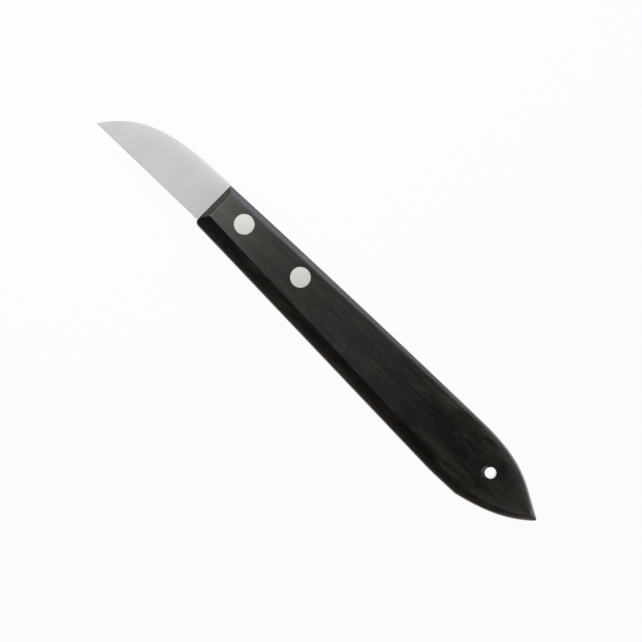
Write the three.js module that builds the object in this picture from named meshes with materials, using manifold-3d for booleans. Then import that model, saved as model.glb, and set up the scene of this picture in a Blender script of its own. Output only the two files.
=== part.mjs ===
import * as THREE from "three";
import { mergeVertices, toCreasedNormals } from "three/addons/utils/BufferGeometryUtils.js";
import Module from "manifold-3d";

// Herring knife: a short pointed blade riveted into the sawn slot of a one-piece bevelled wooden handle.
// Sizes are in millimetres and angles in degrees. While the knife is drawn, x runs from the handle's front
// to its butt, y is height above the blade's spine, and z goes across the handle from its lower side face.

// Blade
const bladeLength = 40.4; // handle front to tip
const bladeHeight = 13.9; // spine to edge at the handle
const bladeThickness = 1.3; // sheet thickness, left whole along the spine and the tang
const spineStraight = 4.7; // length of spine in front of the handle that stays straight
const spineInset = 0.4; // the spine's step down to the tang lies this far inside the handle
const bendFromTip = 13.4; // where the spine's slow fall turns into the round of the tip
const bendDrop = 2.6;
const bendAngle = 19.4;
const tipAngle = 53; // fall of the spine where it reaches the tip
const edgeRise = 1.05; // the edge climbs this much from the handle to the tip
const edgeBevelHeight = 0.4; // height of the bevel that makes the edge
const edgeShoulder = 0.24; // thickness where the flat grind meets the edge bevel
const edgeThickness = 0.1; // width left along the edge itself
const heelInset = 2; // the ground edge runs this far into the handle

// Tang
const tangLength = 42; // handle front to the tang's end
const tangRecess = 0.25; // the tang's rims lie this far below the handle's back and belly
const tangCornerRadius = 3;

// Handle, seen from the side
const handleLength = 130; // front to butt
const handleThickness = 11;
const handleFrontHeight = 14.9;
const backStep = 0.15; // the back starts this far below the blade's spine
const backFrontAngle = 0.3;
const shoulderFromButt = 31.7; // where the back starts to curve down to the butt
const shoulderDrop = 1.7;
const shoulderAngle = 1.5;
const flankFromButt = 7.6; // where the back runs straight to the butt
const flankDrop = 7.3;
const flankAngle = 31.7;
const buttDrop = 12.3; // the butt's point, below the spine
const buttBlunt = 0.5; // length lost where the butt's point is rounded
const bellyEndFromButt = 34.7; // where the straight belly ends
const bellyEndDrop = 22.12;
const cornerFromButt = 22.5; // corner between the belly and the underside of the butt
const cornerDrop = 22.42;
const cornerFrontAngle = 1.5;
const cornerRearAngle = 11.5;
const undersideAngle = 41; // climb of the underside where it reaches the butt
const heelRadius = 1.4; // round corner between the front and the belly
const frontLean = 2.4; // the front is square to the handle's middle line, which slopes down
const leanReach = 12; // length over which the lean dies out

// Bevels round the side faces, with their widths as seen from the side
const backBevelAngle = 45;
const backBevelFront = 1.9;
const backBevelShoulder = 1;
const bellyBevelAngle = 32;
const bellyBevelFront = 4.55;
const bellyBevelEnd = 4;
const bellyBevelCorner = 4.3;
const frontBevelAngle = 42;
const frontBevelWidth = 1.8;
const buttBevelDepth = 1.65; // depth of both bevels where they meet at the butt

// Slot for the tang
const slotClearance = 0.1; // gap on each side of the tang
const slotEndGap = 1.5; // gap behind the tang's end
const sawRadius = 50; // the slot's end has the curve of the saw

// Two-part rivets, ground flush with the side faces
const rivetHeadDiameter = 6;
const rivetHeadThickness = 1.4;
const rivetTubeDiameter = 3.8;
const rivetPinDiameter = 2.4;
const rivetClearance = 0.05; // round the heads and tubes, and under the heads
const pinClearance = 0.05; // round the pin inside the tube
const rivetEndGap = 0.4; // beyond the pin's end and beyond the tube's end
const frontRivetFromFront = 10.7;
const frontRivetDrop = 5.85;
const rearRivetFromTangEnd = 9.1;
const rearRivetDrop = 6.25;

// Hanging hole
const hangHoleDiameter = 3.3;
const hangHoleFromButt = 18.9;
const hangHoleAboveButt = 1.2; // higher than the butt's point
const hangHoleRim = 0.7; // bevel round each mouth

// Smoothness
const bodyStep = 3; // spacing of the handle's sections
const buttStep = 0.6; // spacing where the butt comes to its point
const heelSteps = 6;
const roundSides = 48;
const sawSides = 160;
const spineSteps = 24; // for each of the spine's two curves
const weldDistance = 1e-4;
const overshoot = 2; // cutters reach this far past what they cut
const creaseAngle = 25;

const wasm = await Module();
wasm.setup();

const radians = THREE.MathUtils.degToRad;
const slopeOf = (angle) => Math.tan(radians(angle));

// Places that several pieces share
const handleTip = handleLength + buttBlunt; // where the back and the underside would meet in a sharp point
const shoulderX = handleLength - shoulderFromButt;
const flankX = handleLength - flankFromButt;
const bellyEndX = handleLength - bellyEndFromButt;
const cornerX = handleLength - cornerFromButt;
const frontBottom = -backStep - handleFrontHeight;
const frontMiddle = -backStep - handleFrontHeight / 2;
const handleMiddle = handleThickness / 2;
const backBevelSlope = slopeOf(backBevelAngle);
const bellyBevelSlope = slopeOf(bellyBevelAngle);
const frontBevelSlope = slopeOf(frontBevelAngle);
const slotDepth = tangLength + slotEndGap;
const slotWidth = bladeThickness + 2 * slotClearance;
const headRadius = rivetHeadDiameter / 2;
const tubeRadius = rivetTubeDiameter / 2;
const pinRadius = rivetPinDiameter / 2;
const rivetPlaces = {
  front: new THREE.Vector2(frontRivetFromFront, -frontRivetDrop),
  rear: new THREE.Vector2(tangLength - rearRivetFromTangEnd, -rearRivetDrop),
};

// A knot on one of the knife's long lines, with the line's slope before and after it
function knot(x, y, slopeBefore, slopeAfter = slopeBefore) {
  return { x, y, slopeBefore, slopeAfter };
}

// Cubic between two knots. Its control points are a third of the way along x, so x grows evenly along it.
function curveBetween(from, to) {
  const third = (to.x - from.x) / 3;
  return new THREE.CubicBezierCurve(
    new THREE.Vector2(from.x, from.y),
    new THREE.Vector2(from.x + third, from.y + third * from.slopeAfter),
    new THREE.Vector2(to.x - third, to.y - third * to.slopeBefore),
    new THREE.Vector2(to.x, to.y),
  );
}

// Height, at any x, of the smooth line through a row of knots
function lineThrough(knots) {
  const curves = knots.slice(1).map((end, i) => curveBetween(knots[i], end));
  return (x) => {
    const curve = curves.find((piece) => x <= piece.v3.x) ?? curves.at(-1);
    return curve.getPoint((x - curve.v0.x) / (curve.v3.x - curve.v0.x)).y;
  };
}

const bellySlope = (-bellyEndDrop - frontBottom) / bellyEndX;
const bellyCreaseFront = frontBottom + bellyBevelFront;
const bellyCreaseEnd = -bellyEndDrop + bellyBevelEnd;
const bellyCreaseSlope = (bellyCreaseEnd - bellyCreaseFront) / bellyEndX;

const backHeight = lineThrough([
  knot(0, -backStep, -slopeOf(backFrontAngle)),
  knot(shoulderX, -shoulderDrop, -slopeOf(shoulderAngle)),
  knot(flankX, -flankDrop, -slopeOf(flankAngle)),
  knot(handleTip, -buttDrop, -slopeOf(flankAngle)),
]);

const bellyHeight = lineThrough([
  knot(0, frontBottom, bellySlope),
  knot(bellyEndX, -bellyEndDrop, bellySlope),
  knot(cornerX, -cornerDrop, -slopeOf(cornerFrontAngle), slopeOf(cornerRearAngle)),
  knot(handleTip, -buttDrop, slopeOf(undersideAngle)),
]);

// Crease between the side face and the belly bevel
const bellyCrease = lineThrough([
  knot(0, bellyCreaseFront, bellyCreaseSlope),
  knot(bellyEndX, bellyCreaseEnd, bellyCreaseSlope),
  knot(cornerX, -cornerDrop + bellyBevelCorner, 0),
  knot(handleTip, -buttDrop + buttBevelDepth / bellyBevelSlope, slopeOf(undersideAngle)),
]);

// Crease between the side face and the back bevel, which narrows to the shoulder and widens to the butt
function backCrease(x) {
  const buttWidth = buttBevelDepth / backBevelSlope;
  const width = x < shoulderX
    ? THREE.MathUtils.mapLinear(x, 0, shoulderX, backBevelFront, backBevelShoulder)
    : THREE.MathUtils.mapLinear(x, shoulderX, handleTip, backBevelShoulder, buttWidth);
  return backHeight(x) - width;
}

// How far the round corner at the front lifts the belly
function heelRise(x) {
  const inside = Math.max(0, heelRadius - x);
  return heelRadius - Math.sqrt(heelRadius ** 2 - inside ** 2);
}

// Eight-sided section of the handle: two side faces, four bevels, the back and the belly.
// Past the end of the side faces the bevels of each side meet in a ridge that runs out to the butt.
function handleSection(station) {
  const back = backHeight(station);
  const belly = bellyHeight(station) + heelRise(station);
  const upperCrease = backCrease(station);
  const lowerCrease = bellyCrease(station);
  let depth = Math.max(0, frontBevelWidth - station) * frontBevelSlope;
  let upper = upperCrease + depth / backBevelSlope;
  let lower = lowerCrease - depth / bellyBevelSlope;
  if (lower > upper) {
    upper = (upperCrease * backBevelSlope + lowerCrease * bellyBevelSlope) / (backBevelSlope + bellyBevelSlope);
    lower = upper;
    depth = (upper - upperCrease) * backBevelSlope;
  }
  const backDepth = (back - upperCrease) * backBevelSlope;
  const bellyDepth = (lowerCrease - belly) * bellyBevelSlope;
  const corners = [
    [lower, depth],
    [upper, depth],
    [back, backDepth],
    [back, handleThickness - backDepth],
    [upper, handleThickness - depth],
    [lower, handleThickness - depth],
    [belly, handleThickness - bellyDepth],
    [belly, bellyDepth],
  ];
  const x = handleTip - Math.hypot(handleTip - station, buttBlunt);
  const lean = slopeOf(frontLean) * Math.max(0, 1 - station / leanReach);
  return corners.map(([y, z]) => new THREE.Vector3(x + lean * (y - frontMiddle), y, z));
}

// Stations of the handle's sections: every change of form has one, and the rest are evenly spaced between
function handleStations() {
  const marks = [heelRadius, frontBevelWidth, bellyEndX, shoulderX, cornerX, flankX, handleTip];
  marks.sort((a, b) => a - b);
  const stations = [];
  for (let i = 0; i < heelSteps; i += 1) {
    stations.push(heelRadius * (1 - Math.cos((i / heelSteps) * (Math.PI / 2))));
  }
  for (let i = 1; i < marks.length; i += 1) {
    const span = marks[i] - marks[i - 1];
    const steps = Math.ceil(span / (marks[i] > flankX ? buttStep : bodyStep));
    for (let k = 0; k < steps; k += 1) {
      stations.push(marks[i - 1] + (span * k) / steps);
    }
  }
  stations.push(handleTip);
  return stations.sort((a, b) => a - b);
}

// Skin over a row of sections, closed by a flat front and by the last section's edge
function loft(sections) {
  const sides = sections[0].length;
  const index = [];
  for (let i = 1; i < sections.length; i += 1) {
    for (let side = 0; side < sides; side += 1) {
      const here = (i - 1) * sides + side;
      const next = (i - 1) * sides + ((side + 1) % sides);
      index.push(here, next, next + sides, here, next + sides, here + sides);
    }
  }
  for (let side = 1; side < sides - 1; side += 1) {
    index.push(0, side + 1, side);
  }
  const points = sections.flat().flatMap((point) => point.toArray());
  const geometry = new THREE.BufferGeometry();
  geometry.setAttribute("position", new THREE.Float32BufferAttribute(points, 3));
  geometry.setIndex(index);
  return geometry;
}

// Closed solid of a geometry, with shared corners welded and triangles of no area left out
function toSolid(geometry) {
  geometry.deleteAttribute("normal");
  geometry.deleteAttribute("uv");
  const welded = mergeVertices(geometry, weldDistance);
  const corners = welded.index.array;
  const triVerts = [];
  for (let i = 0; i < corners.length; i += 3) {
    const [a, b, c] = [corners[i], corners[i + 1], corners[i + 2]];
    if (a !== b && b !== c && c !== a) {
      triVerts.push(a, b, c);
    }
  }
  const vertProperties = welded.getAttribute("position").array;
  return new wasm.Manifold(new wasm.Mesh({ numProp: 3, vertProperties, triVerts: new Uint32Array(triVerts) }));
}

function toGeometry(solid) {
  const { vertProperties, triVerts } = solid.getMesh();
  const geometry = new THREE.BufferGeometry();
  geometry.setAttribute("position", new THREE.BufferAttribute(vertProperties, 3));
  geometry.setIndex(new THREE.BufferAttribute(triVerts, 1));
  return toCreasedNormals(geometry, radians(creaseAngle));
}

// Round form about the z axis from a profile of radius and height
function turned(profile) {
  const points = profile.map(([radius, height]) => new THREE.Vector2(radius, height));
  return new THREE.LatheGeometry(points, roundSides).rotateX(Math.PI / 2);
}

// Stepped hole for a rivet, with a pocket for the head at each side face
function rivetBore(place) {
  const pocket = headRadius + rivetClearance;
  const bore = tubeRadius + rivetClearance;
  const pocketDepth = rivetHeadThickness + rivetClearance;
  return turned([
    [0, -overshoot],
    [pocket, -overshoot],
    [pocket, pocketDepth],
    [bore, pocketDepth],
    [bore, handleThickness - pocketDepth],
    [pocket, handleThickness - pocketDepth],
    [pocket, handleThickness + overshoot],
    [0, handleThickness + overshoot],
  ]).translate(place.x, place.y, 0);
}

// Hanging hole with bevelled mouths
function hangHole() {
  const radius = hangHoleDiameter / 2;
  const mouth = radius + hangHoleRim + overshoot;
  return turned([
    [0, -overshoot],
    [mouth, -overshoot],
    [radius, hangHoleRim],
    [radius, handleThickness - hangHoleRim],
    [mouth, handleThickness + overshoot],
    [0, handleThickness + overshoot],
  ]).translate(handleLength - hangHoleFromButt, -buttDrop + hangHoleAboveButt, 0);
}

// Saw cut from the front, open along the back and the belly
function tangSlot() {
  const disc = new THREE.CylinderGeometry(sawRadius, sawRadius, slotWidth, sawSides);
  return disc.rotateX(Math.PI / 2).translate(slotDepth - sawRadius, frontMiddle, handleMiddle);
}

function makeHandle() {
  let solid = toSolid(loft(handleStations().map(handleSection)));
  const cuts = [tangSlot(), hangHole(), ...Object.values(rivetPlaces).map(rivetBore)];
  for (const cut of cuts) {
    solid = solid.subtract(toSolid(cut));
  }
  const stain = new THREE.MeshStandardMaterial({ color: 0x2b2927, roughness: 0.5, metalness: 0 });
  const handle = new THREE.Mesh(toGeometry(solid), stain);
  handle.name = "handle";
  return handle;
}

// Straight edge line, lowest at the handle
const edgeHeightAt = (x) => -bladeHeight - (x * edgeRise) / bladeLength;

// Blade and tang in one piece of sheet, seen from the side
function bladeOutline() {
  const tangTop = (x) => backHeight(x) - tangRecess;
  const tangBottom = (x) => bellyHeight(x) + tangRecess;
  const cornerStart = tangLength - tangCornerRadius;
  const tip = knot(-bladeLength, edgeHeightAt(-bladeLength), slopeOf(tipAngle));
  const bend = knot(-bladeLength + bendFromTip, -bendDrop, slopeOf(bendAngle));
  const straight = knot(-spineStraight, 0, 0);
  const outline = new THREE.Shape();
  outline.moveTo(tip.x, tip.y);
  outline.lineTo(heelInset, edgeHeightAt(heelInset));
  outline.lineTo(heelInset, tangBottom(heelInset));
  outline.lineTo(cornerStart, tangBottom(cornerStart));
  outline.quadraticCurveTo(
    tangLength, tangBottom(tangLength), tangLength, tangBottom(tangLength) + tangCornerRadius,
  );
  outline.lineTo(tangLength, tangTop(tangLength) - tangCornerRadius);
  outline.quadraticCurveTo(tangLength, tangTop(tangLength), cornerStart, tangTop(cornerStart));
  outline.lineTo(spineInset, tangTop(spineInset));
  outline.lineTo(spineInset, 0);
  outline.lineTo(straight.x, straight.y);
  for (const curve of [curveBetween(bend, straight), curveBetween(tip, bend)]) {
    outline.bezierCurveTo(curve.v2.x, curve.v2.y, curve.v1.x, curve.v1.y, curve.v0.x, curve.v0.y);
  }
  return outline;
}

// What a grinding pass takes off one side, along the whole edge and up to the heel.
// The pass leaves a flat between two heights above the edge, with the half thicknesses given there.
function grindCut(side, low, high) {
  const rise = (high.half - low.half) / (high.height - low.height);
  const floor = low.height - overshoot;
  const outer = bladeThickness / 2 + overshoot;
  const profile = new THREE.Shape();
  profile.moveTo(floor, side * (low.half - rise * overshoot));
  profile.lineTo(high.height, side * high.half);
  profile.lineTo(high.height, side * outer);
  profile.lineTo(floor, side * outer);
  const slant = Math.atan2(edgeRise, bladeLength);
  const alongEdge = new THREE.Vector3(Math.cos(slant), -Math.sin(slant), 0);
  const acrossEdge = new THREE.Vector3(Math.sin(slant), Math.cos(slant), 0);
  const start = new THREE.Vector3(-bladeLength, edgeHeightAt(-bladeLength), handleMiddle);
  start.addScaledVector(alongEdge, -overshoot);
  const length = (bladeLength + heelInset) / Math.cos(slant) + overshoot;
  const cut = new THREE.ExtrudeGeometry(profile, { depth: length, bevelEnabled: false });
  const place = new THREE.Matrix4().makeBasis(acrossEdge, new THREE.Vector3(0, 0, 1), alongEdge);
  return cut.applyMatrix4(place.setPosition(start));
}

function makeBlade() {
  const sheet = { depth: bladeThickness, bevelEnabled: false, curveSegments: spineSteps };
  const plate = new THREE.ExtrudeGeometry(bladeOutline(), sheet);
  let solid = toSolid(plate.translate(0, 0, handleMiddle - bladeThickness / 2));
  const edge = { height: 0, half: edgeThickness / 2 };
  const shoulder = { height: edgeBevelHeight, half: edgeShoulder / 2 };
  const spine = { height: bladeHeight, half: bladeThickness / 2 };
  const cuts = [];
  for (const side of [-1, 1]) {
    cuts.push(grindCut(side, shoulder, spine), grindCut(side, edge, shoulder));
  }
  for (const place of Object.values(rivetPlaces)) {
    const hole = tubeRadius + rivetClearance;
    const drill = new THREE.CylinderGeometry(hole, hole, bladeThickness + 2 * overshoot, roundSides);
    cuts.push(drill.rotateX(Math.PI / 2).translate(place.x, place.y, handleMiddle));
  }
  for (const cut of cuts) {
    solid = solid.subtract(toSolid(cut));
  }
  const steel = new THREE.MeshStandardMaterial({ color: 0xc8c8c7, roughness: 0.35, metalness: 1 });
  const blade = new THREE.Mesh(toGeometry(solid), steel);
  blade.name = "blade";
  return blade;
}

// Rivet of a tube and a pin, pressed together through the handle and the tang from both sides
function makeRivet(label, place) {
  const boreRadius = pinRadius + pinClearance;
  const boreEnd = handleThickness - rivetHeadThickness;
  const pinHalf = turned([
    [0, 0],
    [headRadius, 0],
    [headRadius, rivetHeadThickness],
    [pinRadius, rivetHeadThickness],
    [pinRadius, boreEnd - rivetEndGap],
    [0, boreEnd - rivetEndGap],
  ]);
  const tubeHalf = turned([
    [0, boreEnd],
    [boreRadius, boreEnd],
    [boreRadius, rivetHeadThickness + rivetEndGap],
    [tubeRadius, rivetHeadThickness + rivetEndGap],
    [tubeRadius, handleThickness - rivetHeadThickness],
    [headRadius, handleThickness - rivetHeadThickness],
    [headRadius, handleThickness],
    [0, handleThickness],
  ]);
  const metal = new THREE.MeshStandardMaterial({ color: 0xdedcd8, roughness: 0.4, metalness: 1 });
  const rivet = new THREE.Group();
  for (const [half, geometry] of Object.entries({ pin: pinHalf, tube: tubeHalf })) {
    const mesh = new THREE.Mesh(toCreasedNormals(geometry, radians(creaseAngle)), metal);
    mesh.name = `${label}_rivet_${half}`;
    rivet.add(mesh);
  }
  rivet.position.set(place.x, place.y, 0);
  return rivet;
}

// The knife lies on its side, with the middle of its outline over the origin
const knife = new THREE.Group();
knife.add(makeBlade(), makeHandle());
for (const [label, place] of Object.entries(rivetPlaces)) {
  knife.add(makeRivet(label, place));
}
const extent = new THREE.Box3().setFromObject(knife);
const middle = extent.getCenter(new THREE.Vector3());
knife.position.set(-middle.x, -middle.y, -extent.min.z);

export default knife;
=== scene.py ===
import math

import bmesh
import bpy
import numpy as np
from mathutils import Matrix, Vector


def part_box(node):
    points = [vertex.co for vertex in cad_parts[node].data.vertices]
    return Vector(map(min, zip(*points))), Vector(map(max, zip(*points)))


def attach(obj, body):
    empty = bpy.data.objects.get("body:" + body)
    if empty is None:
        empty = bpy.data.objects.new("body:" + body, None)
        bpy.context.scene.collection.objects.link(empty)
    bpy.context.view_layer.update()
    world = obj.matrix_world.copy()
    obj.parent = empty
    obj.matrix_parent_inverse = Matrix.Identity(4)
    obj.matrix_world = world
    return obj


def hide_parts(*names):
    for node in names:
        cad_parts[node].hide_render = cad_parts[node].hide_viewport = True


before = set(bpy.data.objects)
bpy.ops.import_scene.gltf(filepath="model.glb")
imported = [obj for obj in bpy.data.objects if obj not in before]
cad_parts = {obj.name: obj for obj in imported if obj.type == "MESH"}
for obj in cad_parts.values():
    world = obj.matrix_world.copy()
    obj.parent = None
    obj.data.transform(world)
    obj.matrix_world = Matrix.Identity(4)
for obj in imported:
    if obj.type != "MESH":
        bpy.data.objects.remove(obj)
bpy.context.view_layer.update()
mm = 0.001
weldReach = 2e-7  # metres
tiny = 1e-6  # keeps divisions by a length of nothing safe, in mm
mostOfSide = 0.46  # an eased corner takes at most this share of a side
noiseRoughness = 0.55
noiseSpan = (0.3, 0.7)  # most of a noise lies between these values

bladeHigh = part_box("blade")[1]
handleLow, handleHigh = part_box("handle")
thickness = (handleHigh.z - handleLow.z) / mm
midZ = thickness / 2
print("frame loaded, handle thickness", round(thickness, 2), "mm")


def slopeOf(degrees):
    return math.tan(math.radians(degrees))


def toRow(points):
    # drawing millimetres to row metres
    return (np.asarray(points, float) + drawingShift) * mm


def knot(x, y, before, after=None):
    # a point of a line, with its slopes before and after it
    return (x, y, before, before if after is None else after)


def lineThrough(knots, x):
    # Hermite cubic between neighbouring knots: it blends both heights and both slopes, with t even along x
    height = np.zeros_like(x)
    for (x0, y0, _, m0), (x1, y1, m1, _) in zip(knots, knots[1:]):
        span = x1 - x0
        t = np.clip((x - x0) / span, 0, 1)
        piece = (y0 * (1 + 2 * t) * (1 - t) ** 2 + m0 * span * t * (1 - t) ** 2
                 + y1 * t ** 2 * (3 - 2 * t) - m1 * span * t ** 2 * (1 - t))
        height = np.where(x >= x0, piece, height)
    return height


def easeCorners(corners, ease, arcSteps, sideSteps):
    # each corner becomes a quadratic curve from a point before it to a point after it, each 'ease' away
    # along its side, or nearly half of a short side; straight points fill the side up to the next corner
    after = np.roll(corners, -1, axis=1) - corners
    length = np.linalg.norm(after, axis=2, keepdims=True)
    unit = after / np.maximum(length, tiny)
    reach = np.broadcast_to(ease, corners.shape[:2])[:, :, None]
    ahead = np.minimum(reach, mostOfSide * length)
    behind = np.minimum(reach, mostOfSide * np.roll(length, 1, axis=1))
    start = (corners - np.roll(unit, 1, axis=1) * behind)[:, :, None]
    end = (corners + unit * ahead)[:, :, None]
    t = np.linspace(0, 1, arcSteps).reshape(1, 1, -1, 1)
    arc = (1 - t) ** 2 * start + 2 * t * (1 - t) * corners[:, :, None] + t ** 2 * end
    s = (np.arange(sideSteps) + 1).reshape(1, 1, -1, 1) / (sideSteps + 1)
    side = end * (1 - s) + np.roll(start, -1, axis=1) * s
    ring = np.concatenate([arc, side], axis=2)
    return ring.reshape(len(corners), -1, 2)


def gridPiece(name, points):
    # skin over a grid of points, rows along the piece and columns round it
    rows, columns = points.shape[:2]
    here = np.arange(rows * columns).reshape(rows, columns)
    across = np.roll(here, -1, axis=1)
    quads = np.stack([here[:-1], across[:-1], across[1:], here[1:]], axis=-1)
    mesh = bpy.data.meshes.new(name)
    mesh.from_pydata(points.reshape(-1, 3), [], quads.reshape(-1, 4))
    weld = bmesh.new()
    weld.from_mesh(mesh)
    bmesh.ops.remove_doubles(weld, verts=weld.verts, dist=weldReach)
    bmesh.ops.recalc_face_normals(weld, faces=weld.faces)
    weld.to_mesh(mesh)
    weld.free()
    piece = bpy.data.objects.new(name, mesh)
    bpy.context.scene.collection.objects.link(piece)
    return piece


def turned(radius, height, centre=(0, 0), sides=96):
    # rows of radius and height carried round a z axis through 'centre'
    angle = np.linspace(0, 2 * np.pi, sides, endpoint=False)
    x, y = centre[0] + radius * np.cos(angle), centre[1] + radius * np.sin(angle)
    return np.stack(np.broadcast_arrays(x, y, height), axis=-1)


def turnedPiece(name, profile, centre, sides=96):
    profile = np.asarray(profile, float)
    return gridPiece(name, toRow(turned(profile[:, :1], profile[:, 1:], centre, sides)))


def roundedProfile(corners, ease, arcSteps=5):
    # open polyline of radius and height with its inner corners eased, ends kept on the axis
    corners = np.asarray(corners, float)
    parts = [corners[:1]]
    for before, here, after, reach in zip(corners, corners[1:], corners[2:], ease):
        back, ahead = before - here, after - here
        start = here + back * min(reach / np.linalg.norm(back), mostOfSide)
        end = here + ahead * min(reach / np.linalg.norm(ahead), mostOfSide)
        t = np.linspace(0, 1, arcSteps)[:, None]
        parts.append((1 - t) ** 2 * start + 2 * t * (1 - t) * here + t ** 2 * end)
    parts.append(corners[-1:])
    return np.concatenate(parts)


def carve(piece, cutters):
    # the cutters' shapes are taken out of the piece, and the cutters are thrown away
    for cutter in cutters:
        cut = piece.modifiers.new("cut", "BOOLEAN")
        cut.operation = "DIFFERENCE"
        cut.solver = "EXACT"
        cut.object = cutter
    whole = piece.data
    graph = bpy.context.evaluated_depsgraph_get()
    carved = bpy.data.meshes.new_from_object(piece.evaluated_get(graph))
    piece.modifiers.clear()
    piece.data = carved
    bpy.data.meshes.remove(whole)
    carved.name = piece.name
    for cutter in cutters:
        bpy.data.meshes.remove(cutter.data)


def finishPiece(piece, material, node, sharpAngle=30):
    piece.data.shade_smooth()
    piece.data.set_sharp_from_angle(angle=math.radians(sharpAngle))
    piece.data.materials.clear()
    piece.data.materials.append(material)
    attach(piece, "root")
    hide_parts(node)


# materials
def newMaterial(name):
    material = bpy.data.materials.new(name)
    material.use_nodes = True
    tree = material.node_tree
    return material, tree, tree.nodes["Principled BSDF"]


def addNode(tree, kind, links=(), **settings):
    node = tree.nodes.new(kind)
    for key, value in settings.items():
        setattr(node, key, value)
    for name, source in dict(links).items():
        tree.links.new(source, node.inputs[name])
    return node


def stretchedNoise(tree, perMillimetre, detail, shift=(0, 0, 0), warp=0.0):
    # noise on object coordinates, with its own count of waves per millimetre along x, y and z
    place = addNode(tree, "ShaderNodeTexCoord")
    squeeze = addNode(tree, "ShaderNodeMapping", {"Vector": place.outputs["Object"]})
    squeeze.inputs["Scale"].default_value = [wave / mm for wave in perMillimetre]
    squeeze.inputs["Location"].default_value = shift
    noise = addNode(tree, "ShaderNodeTexNoise", {"Vector": squeeze.outputs[0]})
    noise.inputs["Scale"].default_value = 1
    noise.inputs["Distortion"].default_value = warp
    noise.inputs["Detail"].default_value = detail
    noise.inputs["Roughness"].default_value = noiseRoughness
    return noise.outputs["Fac"]


def ramp(tree, fac, stops):
    node = addNode(tree, "ShaderNodeValToRGB", {"Fac": fac})
    elements = node.color_ramp.elements
    while len(elements) < len(stops):
        elements.new(0.5)
    for element, (position, colour) in zip(elements, stops):
        element.position = position
        element.color = (*colour, 1)
    return node.outputs["Color"]


def remap(tree, value, fromLow, fromHigh, toLow, toHigh):
    node = addNode(tree, "ShaderNodeMapRange", {"Value": value})
    numbers = {"From Min": fromLow, "From Max": fromHigh, "To Min": toLow, "To Max": toHigh}
    for name, number in numbers.items():
        node.inputs[name].default_value = number
    return node.outputs[0]


def bumpOn(tree, height, strength, depth):
    node = addNode(tree, "ShaderNodeBump", {"Height": height})
    node.inputs["Strength"].default_value = strength
    node.inputs["Distance"].default_value = depth * mm
    return node.outputs[0]


def mixColours(tree, fac, first, second, blend="MIX"):
    node = addNode(tree, "ShaderNodeMix", data_type="RGBA", blend_type=blend)
    for socket, value in ((0, fac), (6, first), (7, second)):  # the colour mix's own sockets
        if isinstance(value, bpy.types.NodeSocket):
            tree.links.new(value, node.inputs[socket])
        else:
            node.inputs[socket].default_value = value if isinstance(value, float) else (*value, 1)
    return node.outputs[2]


def combine(tree, operation, first, second):
    return addNode(tree, "ShaderNodeMath", {0: first, 1: second}, operation=operation).outputs[0]


def greys(levels):
    return [(position, (level, level, level)) for position, level in levels]


woodLook = {
    "dark": (0.0036, 0.0033, 0.0026), "mid": (0.0106, 0.0097, 0.0076), "light": (0.0250, 0.0230, 0.0184),
    "fleck": (0.0290, 0.0275, 0.0230), "worn": (0.0700, 0.0380, 0.0210),
    "stops": (0.36, 0.50, 0.66),
    "shadeSpan": (0.36, 0.64), "fleckSpan": (0.56, 0.74), "wornSpan": (0.35, 0.65),
    "cloudShade": (0.45, 1.7), "mottleShade": (0.5, 1.6), "wornShare": (0.3, 1.0),
    "roughness": (0.29, 0.23), "fibreRoughness": (-0.02, 0.02), "cloudRoughness": (0.03, -0.03),
    "bump": 0.25, "bumpDepth": 0.04,
    "sheen": 0.77, "sheenTint": (1.0, 0.96, 0.90, 1.0), "coat": 0.58, "coatRoughness": 0.19,
}
woodNoise = {  # waves per millimetre along x, y and z, then detail, shift and warp
    "streaks": ((0.070, 0.55, 0.50), 4.0, (0, 0, 0), 1.1),
    "clouds": ((0.018, 0.15, 0.12), 2.0, (11, 4, 2), 0.5),
    "mottle": ((0.14, 0.36, 0.36), 2.5, (6, 2, 9), 0.8),
    "fibres": ((0.12, 2.2, 2.2), 3.0, (3, 1, 7), 0.4),
    "dashes": ((0.20, 1.5, 1.5), 2.5, (8, 5, 3), 0.3),
    "patches": ((0.10, 0.8, 0.8), 3.0, (2, 9, 4), 0.0),
}
heartStreakAndPaintedLightLine = {  # a leaning line across the rear half, with a darker streak of wood along it and painted light in the brighter belts beside it; its height and waver in mm
    "slope": 0.106, "height": 5.55, "waver": 0.9,
    "along": [20.0, 38.0, 54.0, 68.0],  # where it comes, is whole, goes and is gone, in mm
    "reach": 12.0,  # each belt is a distance from the line in mm, out to this far, and the shade there: levels under 1 are darker wood, levels over 1 are painted light that brightens the face where the lamps' light falls off towards the rear
    "streakAndPaintedLightBelts": [(-12.0, 0.60), (-8.0, 0.60), (-6.8, 1.8), (-4.0, 1.8),
              (-1.2, 0.55), (1.2, 0.55), (3.6, 1.5), (12.0, 1.5)],
}


def heartStreakAndPaintedLight(tree, wobble):
    # shade by the distance from a line along the handle, wavering with 'wobble': a darker streak of wood on
    # the line, and painted light on the belts beside it where the lamps' light falls off
    h = heartStreakAndPaintedLightLine
    place = addNode(tree, "ShaderNodeTexCoord").outputs["Object"]
    beside = addNode(tree, "ShaderNodeVectorMath", {0: place}, operation="DOT_PRODUCT")
    beside.inputs[1].default_value = (h["slope"], 1, 0)
    waver = remap(tree, wobble, *noiseSpan, -h["waver"] * mm, h["waver"] * mm)
    beside = combine(tree, "ADD", beside.outputs["Value"], waver)
    low, high = (h["height"] - h["reach"]) * mm, (h["height"] + h["reach"]) * mm
    stops = greys([(0.5 + far / h["reach"] / 2, level) for far, level in h["streakAndPaintedLightBelts"]])
    streakAndPaintedLightBelts = ramp(tree, remap(tree, beside, low, high, 0.0, 1.0), stops)
    along = addNode(tree, "ShaderNodeSeparateXYZ", {"Vector": place}).outputs["X"]
    comes, whole, goes, gone = [x * mm for x in h["along"]]
    rear = combine(tree, "MULTIPLY", remap(tree, along, comes, whole, 0.0, 1.0),
                   remap(tree, along, goes, gone, 1.0, 0.0))
    return mixColours(tree, rear, (1.0, 1.0, 1.0), streakAndPaintedLightBelts)


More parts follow.
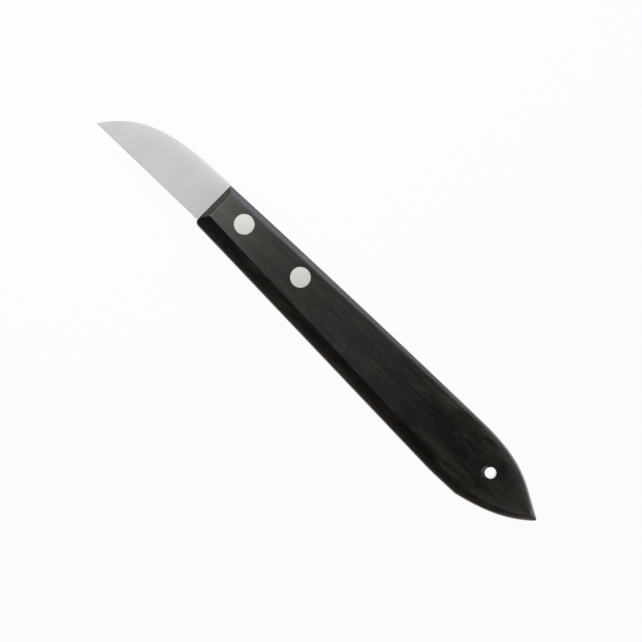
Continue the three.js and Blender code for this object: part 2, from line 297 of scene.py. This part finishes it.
def stainedWood():
    w = woodLook
    material, tree, shader = newMaterial("stained wood")
    noise = {name: stretchedNoise(tree, *form) for name, form in woodNoise.items()}
    stain = ramp(tree, noise["streaks"], list(zip(w["stops"], (w["dark"], w["mid"], w["light"]))))
    shade = combine(tree, "MULTIPLY", remap(tree, noise["clouds"], *w["shadeSpan"], *w["cloudShade"]),
                    remap(tree, noise["mottle"], *w["shadeSpan"], *w["mottleShade"]))
    stain = mixColours(tree, 1.0, stain, shade, "MULTIPLY")
    # the rear half's darker streak of wood, with painted light brightening the face beside it
    stain = mixColours(tree, 1.0, stain, heartStreakAndPaintedLight(tree, noise["mottle"]), "MULTIPLY")
    flecks = remap(tree, noise["dashes"], *w["fleckSpan"], 0.0, 1.0)
    stain = mixColours(tree, flecks, stain, w["fleck"])
    edges = addNode(tree, "ShaderNodeAttribute", attribute_name="edgeWear").outputs["Fac"]
    patches = remap(tree, noise["patches"], *w["wornSpan"], *w["wornShare"])
    rubbed = combine(tree, "MULTIPLY", edges, patches)
    tree.links.new(mixColours(tree, rubbed, stain, w["worn"]), shader.inputs["Base Color"])
    rough = combine(tree, "ADD", remap(tree, noise["streaks"], *noiseSpan, *w["roughness"]),
                    remap(tree, noise["fibres"], *noiseSpan, *w["fibreRoughness"]))
    rough = combine(tree, "ADD", rough, remap(tree, noise["clouds"], *noiseSpan, *w["cloudRoughness"]))
    tree.links.new(rough, shader.inputs["Roughness"])
    tree.links.new(bumpOn(tree, noise["fibres"], w["bump"], w["bumpDepth"]), shader.inputs["Normal"])
    shader.inputs["Specular IOR Level"].default_value = w["sheen"]
    shader.inputs["Specular Tint"].default_value = w["sheenTint"]
    shader.inputs["Coat Weight"].default_value = w["coat"]
    shader.inputs["Coat Roughness"].default_value = w["coatRoughness"]
    return material


def grindMetal(tree, shader, look, colour, marks):
    # bare metal whose roughness and relief follow the marks of grinding
    tree.links.new(colour, shader.inputs["Base Color"])
    shader.inputs["Metallic"].default_value = 1
    tree.links.new(remap(tree, marks, *noiseSpan, *look["roughness"]), shader.inputs["Roughness"])
    tree.links.new(bumpOn(tree, marks, look["bump"], look["bumpDepth"]), shader.inputs["Normal"])


steelLook = {
    "dull": (0.434, 0.435, 0.446), "bright": (0.462, 0.462, 0.472), "spine": (0.600, 0.603, 0.622),
    "lines": ((7.0, 0.06, 0.06), 4), "clouds": ((0.12, 0.05, 0.05), 2, (5, 2, 0)),  # as in woodNoise
    "roughness": (0.17, 0.23), "bump": 0.12, "bumpDepth": 0.01,
}


def groundSteel():
    s = steelLook
    material, tree, shader = newMaterial("ground steel")
    lines, clouds = stretchedNoise(tree, *s["lines"]), stretchedNoise(tree, *s["clouds"])
    colour = ramp(tree, clouds, list(zip(noiseSpan, (s["dull"], s["bright"]))))
    shine = addNode(tree, "ShaderNodeAttribute", attribute_name="spineShine").outputs["Fac"]
    grindMetal(tree, shader, s, mixColours(tree, shine, colour, s["spine"]), lines)
    return material


rivetLook = {
    "dull": (0.97, 0.96, 0.93), "bright": (0.99, 0.98, 0.955), "scratches": ((0.4, 9.0, 9.0), 3),
    "roughness": (0.66, 0.76), "bump": 0.15, "bumpDepth": 0.01,
}


def rivetMetal():
    r = rivetLook
    material, tree, shader = newMaterial("rivet metal")
    scratches = stretchedNoise(tree, *r["scratches"])
    colour = ramp(tree, scratches, list(zip(noiseSpan, (r["dull"], r["bright"]))))
    grindMetal(tree, shader, r, colour, scratches)
    return material


# handle
handleForm = {
    "length": 130.0, "frontHeight": 14.9, "backStep": 0.15, "backFrontAngle": 0.3,
    "shoulderFromButt": 31.7, "shoulderDrop": 1.7, "shoulderAngle": 1.5,
    "flankFromButt": 7.6, "flankDrop": 7.3, "flankAngle": 31.7,
    "buttDrop": 12.3, "buttBlunt": 0.5,
    "bellyEndFromButt": 34.7, "bellyEndDrop": 22.12,
    "cornerFromButt": 22.5, "cornerDrop": 22.42, "cornerFrontAngle": 1.5, "cornerRearAngle": 11.5,
    "undersideAngle": 41.0, "heelRadius": 1.4, "frontLean": 2.4, "frontReach": 12.0,
    "backBevelAngle": 45.0, "backBevelFront": 1.9, "backBevelShoulder": 1.15,
    "bellyBevelAngle": 32.0, "bellyBevelFront": 4.55, "bellyBevelEnd": 4.0, "bellyBevelCorner": 4.3,
    "frontBevelAngle": 42.0, "frontBevelWidth": 1.8, "buttBevelDepth": 1.65,
    "easeStations": (20, 85, 102, 117),
    "backEases": (0.45, 0.6, 0.8, 2.6), "creaseEases": (0.25, 0.25, 0.35, 2.6),
    "bellyEase": 0.6, "bellyCrown": 0.2, "crownShare": 0.04, "frontEase": 0.3, "frontCreaseEase": 0.10,
    "arcSteps": 9, "sideSteps": 5,
}
handleRows = {  # sections in each run of the handle, from the front face to the butt, and the runs' ends
    "frontFace": 8, "heel": 24, "front": 24, "body": 60, "leaf": 80, "point": 70,
    "frontEnd": 4.0, "leafFromButt": 34.0, "pointFromButt": 8.0, "pointCrowding": 1.3,
}
slotForm = {"depth": 42.7, "width": 1.32, "sawRadius": 50.0, "sides": 240}  # squeezed shut on the tang
rivetForm = {
    "headRadius": 3.0, "headThickness": 1.4, "tubeRadius": 1.9, "pinRadius": 1.2, "clearance": 0.05,
    "pinClearance": 0.05, "endGap": 0.4, "edgeEase": 0.12, "overshoot": 2.0,
}
wearForm = {"reach": 1.5, "from": 0.0, "whole": 75.0}  # stain rubbed thin along the belly's two edges
hangHoleForm = {
    "radius": 1.65, "fromButt": 18.9, "aboveButt": 1.2, "rim": 1.15, "rimLeast": 0.06, "rimAngle": 205.0,
    "rimDepth": 0.74, "rimEase": 0.15, "lip": 0.05, "overshoot": 2.0, "rings": 12, "sides": 96,
}
# the drawing's own origin: handle front on x, blade spine on y, lower side face on z
drawingShift = np.array([handleHigh.x / mm - handleForm["length"], bladeHigh.y / mm, 0.0])
rivetCentres = {"front": (10.7, -5.85), "rear": (32.9, -6.25)}


def handleLines(station):
    # heights of the back, the belly and the creases between the side face and its bevels
    f = handleForm
    tip = f["length"] + f["buttBlunt"]
    shoulder, flank = f["length"] - f["shoulderFromButt"], f["length"] - f["flankFromButt"]
    bellyEnd, corner = f["length"] - f["bellyEndFromButt"], f["length"] - f["cornerFromButt"]
    bottom = -f["backStep"] - f["frontHeight"]
    backSlope, bellySlope = slopeOf(f["backBevelAngle"]), slopeOf(f["bellyBevelAngle"])
    fall = (-f["bellyEndDrop"] - bottom) / bellyEnd
    creaseFront, creaseEnd = bottom + f["bellyBevelFront"], -f["bellyEndDrop"] + f["bellyBevelEnd"]
    creaseFall = (creaseEnd - creaseFront) / bellyEnd
    back = lineThrough([
        knot(0, -f["backStep"], -slopeOf(f["backFrontAngle"])),
        knot(shoulder, -f["shoulderDrop"], -slopeOf(f["shoulderAngle"])),
        knot(flank, -f["flankDrop"], -slopeOf(f["flankAngle"])),
        knot(tip, -f["buttDrop"], -slopeOf(f["flankAngle"])),
    ], station)
    belly = lineThrough([
        knot(0, bottom, fall),
        knot(bellyEnd, -f["bellyEndDrop"], fall),
        knot(corner, -f["cornerDrop"], -slopeOf(f["cornerFrontAngle"]), slopeOf(f["cornerRearAngle"])),
        knot(tip, -f["buttDrop"], slopeOf(f["undersideAngle"])),
    ], station)
    inside = np.maximum(0, f["heelRadius"] - station)
    belly = belly + f["heelRadius"] - np.sqrt(f["heelRadius"] ** 2 - inside ** 2)
    lower = lineThrough([
        knot(0, creaseFront, creaseFall),
        knot(bellyEnd, creaseEnd, creaseFall),
        knot(corner, -f["cornerDrop"] + f["bellyBevelCorner"], 0),
        knot(tip, -f["buttDrop"] + f["buttBevelDepth"] / bellySlope, slopeOf(f["undersideAngle"])),
    ], station)
    widths = [f["backBevelFront"], f["backBevelShoulder"], f["buttBevelDepth"] / backSlope]
    upper = back - np.interp(station, [0, shoulder, tip], widths)
    return back, belly, upper, lower


def handleSurface():
    # eight-cornered section carried along the stations: side faces, bevels, back and belly.
    # the front bevel sinks the side face, and past the face's end the bevels meet in a ridge
    f, n = handleForm, handleRows
    tip = f["length"] + f["buttBlunt"]
    leaf, point = f["length"] - n["leafFromButt"], f["length"] - n["pointFromButt"]
    station = np.concatenate([
        f["heelRadius"] * (1 - np.cos(np.linspace(0, np.pi / 2, n["heel"]))),
        np.linspace(f["heelRadius"], n["frontEnd"], n["front"]),
        np.linspace(n["frontEnd"], leaf, n["body"]),
        np.linspace(leaf, point, n["leaf"]),
        tip - (tip - point) * np.linspace(1, 0, n["point"]) ** n["pointCrowding"],
    ])
    station = np.unique(np.round(station, 5))
    back, belly, upperCrease, lowerCrease = handleLines(station)
    backSlope, bellySlope = slopeOf(f["backBevelAngle"]), slopeOf(f["bellyBevelAngle"])
    sink = (f["frontBevelWidth"] - station) * slopeOf(f["frontBevelAngle"])
    sink = (sink + np.sqrt(sink ** 2 + f["frontCreaseEase"] ** 2)) / 2
    sink = np.where(station < f["frontReach"], sink, 0)
    upper, lower, depth = upperCrease + sink / backSlope, lowerCrease - sink / bellySlope, sink
    ridge = (upperCrease * backSlope + lowerCrease * bellySlope) / (backSlope + bellySlope)
    past = lower > upper
    depth = np.where(past, (ridge - upperCrease) * backSlope, depth)
    upper, lower = np.where(past, ridge, upper), np.where(past, ridge, lower)
    backDepth, bellyDepth = (back - upperCrease) * backSlope, (lowerCrease - belly) * bellySlope
    y = np.stack([lower, upper, back, back, upper, lower, belly, belly], axis=1)
    z = np.stack([depth, depth, backDepth, thickness - backDepth,
                  thickness - depth, thickness - depth, thickness - bellyDepth, bellyDepth], axis=1)
    corners = np.stack([y, z], axis=2)
    # each belly bevel swells a little between its two edges
    swell = []
    for first, second in ((5, 6), (7, 0)):
        along = corners[:, second] - corners[:, first]
        outward = np.stack([along[:, 1], -along[:, 0]], axis=1)
        width = np.maximum(np.linalg.norm(along, axis=1), tiny)
        share = np.minimum(f["bellyCrown"] / width, f["crownShare"])[:, None]
        swell.append((corners[:, first] + corners[:, second]) / 2 + outward * share)
    corners = np.concatenate([corners[:, :6], swell[0][:, None], corners[:, 6:], swell[1][:, None]], axis=1)
    crease = np.interp(station, f["easeStations"], f["creaseEases"])
    rounder = np.interp(station, f["easeStations"], f["backEases"])
    keel, wide = np.full_like(station, f["bellyEase"]), np.full_like(station, f["length"])
    keel[-1] = rounder[-1]  # the last section is a line, closed by equal points from both sides
    ease = np.stack([crease, rounder, rounder, rounder, rounder, crease, wide, keel, keel, wide], axis=1)
    ring = easeCorners(corners, ease, f["arcSteps"], f["sideSteps"])
    # the front's own edge is eased by drawing the first sections in
    inside = np.maximum(0, f["frontEase"] - station)
    drawIn = f["frontEase"] - np.sqrt(f["frontEase"] ** 2 - inside ** 2)
    middle = np.stack([(back + belly) / 2, np.full_like(back, midZ)], axis=1)[:, None]
    half = np.stack([(back - belly) / 2, np.full_like(back, midZ)], axis=1)[:, None]
    ring = middle + (ring - middle) * (1 - drawIn[:, None, None] / np.maximum(half, tiny))
    x = tip - np.hypot(tip - station, f["buttBlunt"])
    frontMiddle = -f["backStep"] - f["frontHeight"] / 2
    lean = slopeOf(f["frontLean"]) * np.maximum(0, 1 - station / f["frontReach"])
    x = x[:, None] + lean[:, None] * (ring[:, :, 0] - frontMiddle)
    points = np.concatenate([x[:, :, None], ring], axis=2)
    # front face: the first ring drawn together to its middle
    centre = points[0].mean(axis=0)
    shrink = np.linspace(0, 1, n["frontFace"])[:-1, None, None]
    front = centre + (points[0] - centre) * shrink
    return toRow(np.concatenate([front, points]))


def rivetBoreCutter(name, centre):
    r = rivetForm
    pocket, bore = r["headRadius"] + r["clearance"], r["tubeRadius"] + r["clearance"]
    deep, over = r["headThickness"] + r["clearance"], r["overshoot"]
    profile = [(0, -over), (pocket, -over), (pocket, deep), (bore, deep), (bore, thickness - deep),
               (pocket, thickness - deep), (pocket, thickness + over), (0, thickness + over)]
    return turnedPiece(name, profile, centre)


def hangHoleCutter():
    # each mouth flares towards the tip. The flare's width goes with the cosine of the angle from that way,
    # and its depth with the root of the squared distance in from its edge plus a little, for a soft edge
    h = hangHoleForm
    centre = (handleForm["length"] - h["fromButt"], -handleForm["buttDrop"] + h["aboveButt"])
    angle = np.linspace(0, 2 * np.pi, h["sides"], endpoint=False)
    flare = h["rimLeast"] + h["rim"] * np.maximum(0, np.cos(angle - math.radians(h["rimAngle"])))
    inward = np.linspace(0, 1, h["rings"])
    level = thickness + h["lip"] - h["rimDepth"] * (np.sqrt(inward ** 2 + h["rimEase"] ** 2) - h["rimEase"])
    low, high = -h["overshoot"], thickness + h["overshoot"]
    height = np.concatenate([[low, low], thickness - level, level[::-1], [high, high]])
    share = np.concatenate([[1, 1], 1 - inward, inward, [1, 1]])
    radius = h["radius"] + share[:, None] * flare
    radius[[0, -1]] = 0
    return gridPiece("hang hole cutter", toRow(turned(radius, height[:, None], centre, h["sides"])))


def slotCutter():
    s = slotForm
    middle = (s["depth"] - s["sawRadius"], -handleForm["backStep"] - handleForm["frontHeight"] / 2)
    low, high = midZ - s["width"] / 2, midZ + s["width"] / 2
    profile = [(0, low), (s["sawRadius"], low), (s["sawRadius"], high), (0, high)]
    return turnedPiece("slot cutter", profile, middle, s["sides"])


def drawingPlaces(piece):
    # where the piece's points lie on the drawing, in mm
    place = np.empty(3 * len(piece.data.vertices))
    piece.data.vertices.foreach_get("co", place)
    return (place.reshape(-1, 3) / mm - drawingShift).T


def markWear(piece):
    # wear is a bell curve of the distance to the nearer belly edge, and comes in along the handle
    f, w = handleForm, wearForm
    x, y, z = drawingPlaces(piece)
    _, belly, _, lower = handleLines(np.clip(x, f["heelRadius"], f["length"]))
    edge = (lower - belly) * slopeOf(f["bellyBevelAngle"])
    beside = np.minimum(np.abs(z - edge), np.abs(thickness - z - edge))
    wear = np.exp(-((y - belly) ** 2 + beside ** 2) / w["reach"] ** 2)
    wear *= np.interp(x, [w["from"], w["whole"]], [0, 1])
    piece.data.attributes.new("edgeWear", "FLOAT", "POINT").data.foreach_set("value", wear)


def makeHandle():
    piece = gridPiece("stained_handle", handleSurface())
    cutters = [slotCutter(), hangHoleCutter()]
    cutters += [rivetBoreCutter(side + " bore cutter", centre) for side, centre in rivetCentres.items()]
    carve(piece, cutters)
    markWear(piece)
    finishPiece(piece, stainedWood(), "handle")


# blade
bladeForm = {
    "length": 40.4, "height": 13.9, "half": 0.65, "spineStraight": 4.7, "spineInset": 0.4,
    "bendFromTip": 13.4, "bendDrop": 2.6, "bendAngle": 19.4, "tipAngle": 53.0,
    "edgeRise": 1.05, "edgeBevel": 0.4, "shoulderHalf": 0.12, "edgeHalf": 0.05, "heelInset": 2.0,
    "tangLength": 42.0, "tangRecess": 0.25, "tangCorner": 1.5,
    "edgeEase": 0.01, "bevelEase": 0.06, "spineEase": 0.16, "bevelShare": 0.7,
    "arcSteps": 5, "sideSteps": 8, "sharpAngle": 22,
}
bladeRows = {  # sections in each run of the blade, from the tip to the tang's end
    "tip": 12, "ground": 140, "spine": 24, "heel": 6, "tang": 30, "corner": 16,
    "tipReach": 0.5, "step": 0.004,  # step is the length of the jumps from blade to tang, in mm
}
shineForm = {"reach": 1.5, "from": -38.0, "whole": -4.0, "least": 0.25}  # brighter polish along the spine


def bladeSpine(station):
    b = bladeForm
    curve = lineThrough([
        knot(-b["length"], -b["height"] + b["edgeRise"], slopeOf(b["tipAngle"])),
        knot(-b["length"] + b["bendFromTip"], -b["bendDrop"], slopeOf(b["bendAngle"])),
        knot(-b["spineStraight"], 0, 0),
    ], station)
    return np.where(station > -b["spineStraight"], 0, curve)


def bladeSurface():
    # section of edge, edge bevel, flat grind and spine carried from the tip to the tang's end;
    # half thickness grows in two straight steps with the height above the edge, and is whole on the tang
    b, n = bladeForm, bladeRows
    step = n["step"]
    tipEnd, cornerStart = -b["length"] + n["tipReach"], b["tangLength"] - b["tangCorner"]
    station = np.concatenate([
        -b["length"] + n["tipReach"] * np.linspace(0, 1, n["tip"]) ** 2,
        np.linspace(tipEnd, -b["spineStraight"], n["ground"])[1:],
        np.linspace(-b["spineStraight"], b["spineInset"], n["spine"])[1:],
        [b["spineInset"] + step],
        np.linspace(b["spineInset"] + 2 * step, b["heelInset"], n["heel"])[1:],
        [b["heelInset"] + step],
        np.linspace(b["heelInset"] + 2 * step, cornerStart, n["tang"]),
        b["tangLength"] - b["tangCorner"] * (1 - np.sin(np.linspace(0, np.pi / 2, n["corner"])[1:])),
    ])
    edge = -b["height"] - station * b["edgeRise"] / b["length"]
    back, belly, _, _ = handleLines(np.maximum(station, handleForm["heelRadius"]))
    cornerIn = np.maximum(0, station - b["tangLength"] + b["tangCorner"])
    draw = b["tangCorner"] - np.sqrt(np.maximum(0, b["tangCorner"] ** 2 - cornerIn ** 2))
    top = np.where(station > b["spineInset"], back - b["tangRecess"] - draw, bladeSpine(station))
    tang = station > b["heelInset"]
    bottom = np.where(tang, belly + b["tangRecess"] + draw, edge)
    tall = top - bottom
    grind = np.array([0, b["edgeBevel"], b["height"]])
    halves = np.array([b["edgeHalf"], b["shoulderHalf"], b["half"]])
    bevel = np.minimum(b["edgeBevel"], b["bevelShare"] * tall)
    atEdge = np.where(tang, b["half"], b["edgeHalf"])
    atBevel = np.where(tang, b["half"], np.interp(bevel, grind, halves))
    atSpine = np.where(tang, b["half"], np.interp(tall, grind, halves))
    y = np.stack([bottom, bottom + bevel, top, top, bottom + bevel, bottom], axis=1)
    z = midZ + np.stack([-atEdge, -atBevel, -atSpine, atSpine, atBevel, atEdge], axis=1)
    eases = [b["edgeEase"], b["bevelEase"], b["spineEase"]]
    ease = np.tile(eases + eases[::-1], (len(station), 1))
    ease[0] = b["edgeEase"]  # the tip is a short line, closed by equal points from both sides
    ring = easeCorners(np.stack([y, z], axis=2), ease, b["arcSteps"], b["sideSteps"])
    x = np.broadcast_to(station[:, None, None], ring.shape[:2] + (1,))
    points = np.concatenate([x, ring], axis=2)
    endCap = np.broadcast_to(points[-1:].mean(axis=1, keepdims=True), points[:1].shape)
    return toRow(np.concatenate([points, endCap]))


def markShine(piece):
    # shine dies away exponentially with the distance below the spine, and comes in from tip to handle
    b, s = bladeForm, shineForm
    x, y, _ = drawingPlaces(piece)
    below = np.maximum(0, bladeSpine(np.clip(x, -b["length"], 0)) - y)
    shine = np.exp(-below / s["reach"]) * np.interp(x, [s["from"], s["whole"]], [s["least"], 1])
    piece.data.attributes.new("spineShine", "FLOAT", "POINT").data.foreach_set("value", shine)


def makeBlade():
    piece = gridPiece("ground_blade", bladeSurface())
    hole = rivetForm["tubeRadius"] + rivetForm["clearance"]
    low, high = midZ - rivetForm["overshoot"], midZ + rivetForm["overshoot"]
    drill = [(0, low), (hole, low), (hole, high), (0, high)]
    drills = [turnedPiece(side + " tang drill", drill, centre) for side, centre in rivetCentres.items()]
    carve(piece, drills)
    markShine(piece)
    finishPiece(piece, groundSteel(), "blade", bladeForm["sharpAngle"])


# rivets
def makeRivets():
    r = rivetForm
    material = rivetMetal()
    head, headEnd, soft, edge = r["headRadius"], r["headThickness"], r["edgeEase"] / 2, r["edgeEase"]
    shank, wall, bore = r["pinRadius"], r["tubeRadius"], r["pinRadius"] + r["pinClearance"]
    boreEnd, tubeEnd = thickness - headEnd, headEnd + r["endGap"]
    pinEnd = boreEnd - r["endGap"]
    pin = roundedProfile([
        (0, 0), (head, 0), (head, headEnd), (shank, headEnd), (shank, pinEnd), (0, pinEnd),
    ], [edge, soft, soft, edge])
    tube = roundedProfile([
        (0, boreEnd), (bore, boreEnd), (bore, tubeEnd), (wall, tubeEnd), (wall, boreEnd), (head, boreEnd),
        (head, thickness), (0, thickness),
    ], [soft, soft, soft, soft, soft, edge])
    for side, centre in rivetCentres.items():
        for half, profile in (("pin", pin), ("tube", tube)):
            node = f"{side}_rivet_{half}"
            piece = turnedPiece(node + "_turned", profile, centre)
            finishPiece(piece, material, node)


# camera, lights and floor
viewForm = {
    "imageWidth": 0.1849,  # width of the picture's frame at the knife's middle plane
    "distance": 2.0, "turn": 42.26, "aim": (0.0009, -0.00034, 0.0055), "sensor": 36, "clip": (0.01, 20),
}


def placeCamera():
    v = viewForm
    data = bpy.data.cameras.new("camera")
    data.sensor_width = v["sensor"]
    data.lens = v["sensor"] * v["distance"] / v["imageWidth"]
    data.clip_start, data.clip_end = v["clip"]
    camera = bpy.data.objects.new("camera", data)
    bpy.context.scene.collection.objects.link(camera)
    turn = Matrix.Rotation(math.radians(v["turn"]), 4, "Z")
    camera.matrix_world = Matrix.Translation(v["aim"]) @ turn @ Matrix.Translation((0, 0, v["distance"]))
    bpy.context.scene.camera = camera


lightForm = {
    # name: (place, aim, width, height, radiance, spread, colour), in knife coordinates, metres and degrees
    "tipBox": ((-0.225, 0.12, 0.185), (-0.225, 0.12, 0.0), 0.21, 0.44, 1.55, 180, (1.0, 0.99, 0.97)),
    "frontBox": ((-0.078, 0.12, 0.185), (-0.078, 0.12, 0.0), 0.084, 0.44, 1.36, 180, (1.0, 0.99, 0.97)),
    "topBox": ((0.0084, 0.12, 0.185), (0.0084, 0.12, 0.0), 0.0532, 0.44, 0.225, 180, (1.0, 0.99, 0.97)),
    "buttBox": ((0.220, -0.02, 0.15), (0.220, -0.02, 0.0), 0.280, 0.34, 0.28, 180, (1.0, 0.98, 0.94)),
    "spineBox": ((-0.16, 0.35, 0.075), (-0.06, 0.0, 0.0), 0.34, 0.14, 0.37, 70, (0.42, 0.62, 1.0)),
}

# the walls are whole below the first height and gone above the second. Stops give their shade by the way
# they face, from -1 to 1 along each axis: duller past the tip, white past the butt, dark beside the belly
roomForm = {
    "wall": 0.40, "fade": (0.50, 0.90),
    "X": [(-0.9, 0.78), (-0.4, 1.0), (0.78, 1.0), (0.96, 1.8)], "Y": [(-0.93, 0.09), (-0.5, 1.0)],
}


def placeLights():
    for name, (place, aim, width, height, radiance, spread, colour) in lightForm.items():
        data = bpy.data.lights.new(name, "AREA")
        data.shape = "RECTANGLE"
        data.size, data.size_y = width, height
        data.energy = radiance * math.pi * width * height
        data.spread = math.radians(spread)
        data.color = colour
        light = bpy.data.objects.new(name, data)
        bpy.context.scene.collection.objects.link(light)
        facing = (Vector(aim) - Vector(place)).to_track_quat("-Z", "Y")
        light.matrix_world = Matrix.Translation(place) @ facing.to_matrix().to_4x4()
        light.visible_camera = False


def paintRoom():
    r = roomForm
    world = bpy.data.worlds.new("studio")
    bpy.context.scene.world = world
    world.use_nodes = True
    tree = world.node_tree
    room = tree.nodes["Background"]
    room.inputs["Color"].default_value = (1, 1, 1, 1)
    way = addNode(tree, "ShaderNodeTexCoord").outputs["Generated"]
    height = addNode(tree, "ShaderNodeSeparateXYZ", {"Vector": way}).outputs["Z"]
    level = addNode(tree, "ShaderNodeVectorMath", {0: way}, operation="MULTIPLY")
    level.inputs[1].default_value = (1, 1, 0)
    level = addNode(tree, "ShaderNodeVectorMath", {0: level.outputs[0]}, operation="NORMALIZE")
    aside = addNode(tree, "ShaderNodeSeparateXYZ", {"Vector": level.outputs[0]}).outputs
    wall = remap(tree, height, *r["fade"], r["wall"], 0.0)
    for axis in ("X", "Y"):
        stops = greys([(0.5 + facing / 2, grey) for facing, grey in r[axis]])
        shade = ramp(tree, remap(tree, aside[axis], -1.0, 1.0, 0.0, 1.0), stops)
        wall = combine(tree, "MULTIPLY", wall, shade)
    tree.links.new(wall, room.inputs["Strength"])


floorForm = {
    "reach": 6.0, "cove": 0.3, "rim": 0.40, "drop": 0.0002, "bendRows": 13, "sides": 96,  # metres
    "paint": (0.86, 0.86, 0.86, 1), "roughness": 0.9, "sheen": 0.1, "glow": 0.95,
}


def makeFloor():
    # round sheet that curves up into a low rim: a profile of radius and height carried round the z axis
    f = floorForm
    bend = np.linspace(0, np.pi / 2, f["bendRows"])
    radius = np.concatenate([[0], f["reach"] - f["cove"] * (1 - np.sin(bend)), [f["reach"]]])[:, None]
    height = np.concatenate([[0], f["cove"] * (1 - np.cos(bend)), [f["rim"]]])[:, None] - f["drop"]
    floor = gridPiece("floor", turned(radius, height, sides=f["sides"]))
    material, tree, shader = newMaterial("pale floor")
    shader.inputs["Base Color"].default_value = f["paint"]
    shader.inputs["Roughness"].default_value = f["roughness"]
    shader.inputs["Specular IOR Level"].default_value = f["sheen"]
    # seen straight, in a mirror or through glass it glows white, but it lights the knife as paint
    glow = addNode(tree, "ShaderNodeEmission")
    glow.inputs["Color"].default_value = (1, 1, 1, 1)
    ray = addNode(tree, "ShaderNodeLightPath").outputs
    seen = combine(tree, "MAXIMUM", ray["Is Camera Ray"], ray["Is Glossy Ray"])
    seen = combine(tree, "MAXIMUM", seen, ray["Is Transmission Ray"])
    share = addNode(tree, "ShaderNodeMath", {0: seen}, operation="MULTIPLY")
    share.inputs[1].default_value = f["glow"]
    surfaces = {"Fac": share.outputs[0], 1: shader.outputs[0], 2: glow.outputs[0]}
    mix = addNode(tree, "ShaderNodeMixShader", surfaces)
    tree.links.new(mix.outputs[0], tree.nodes["Material Output"].inputs["Surface"])
    floor.data.materials.append(material)


placeCamera()
print("camera placed")
makeBlade()
print("blade ground")
makeHandle()
print("handle carved")
makeRivets()
print("rivets turned")
placeLights()
paintRoom()
makeFloor()
bpy.context.scene.view_settings.view_transform = "Standard"
print("stage lit")
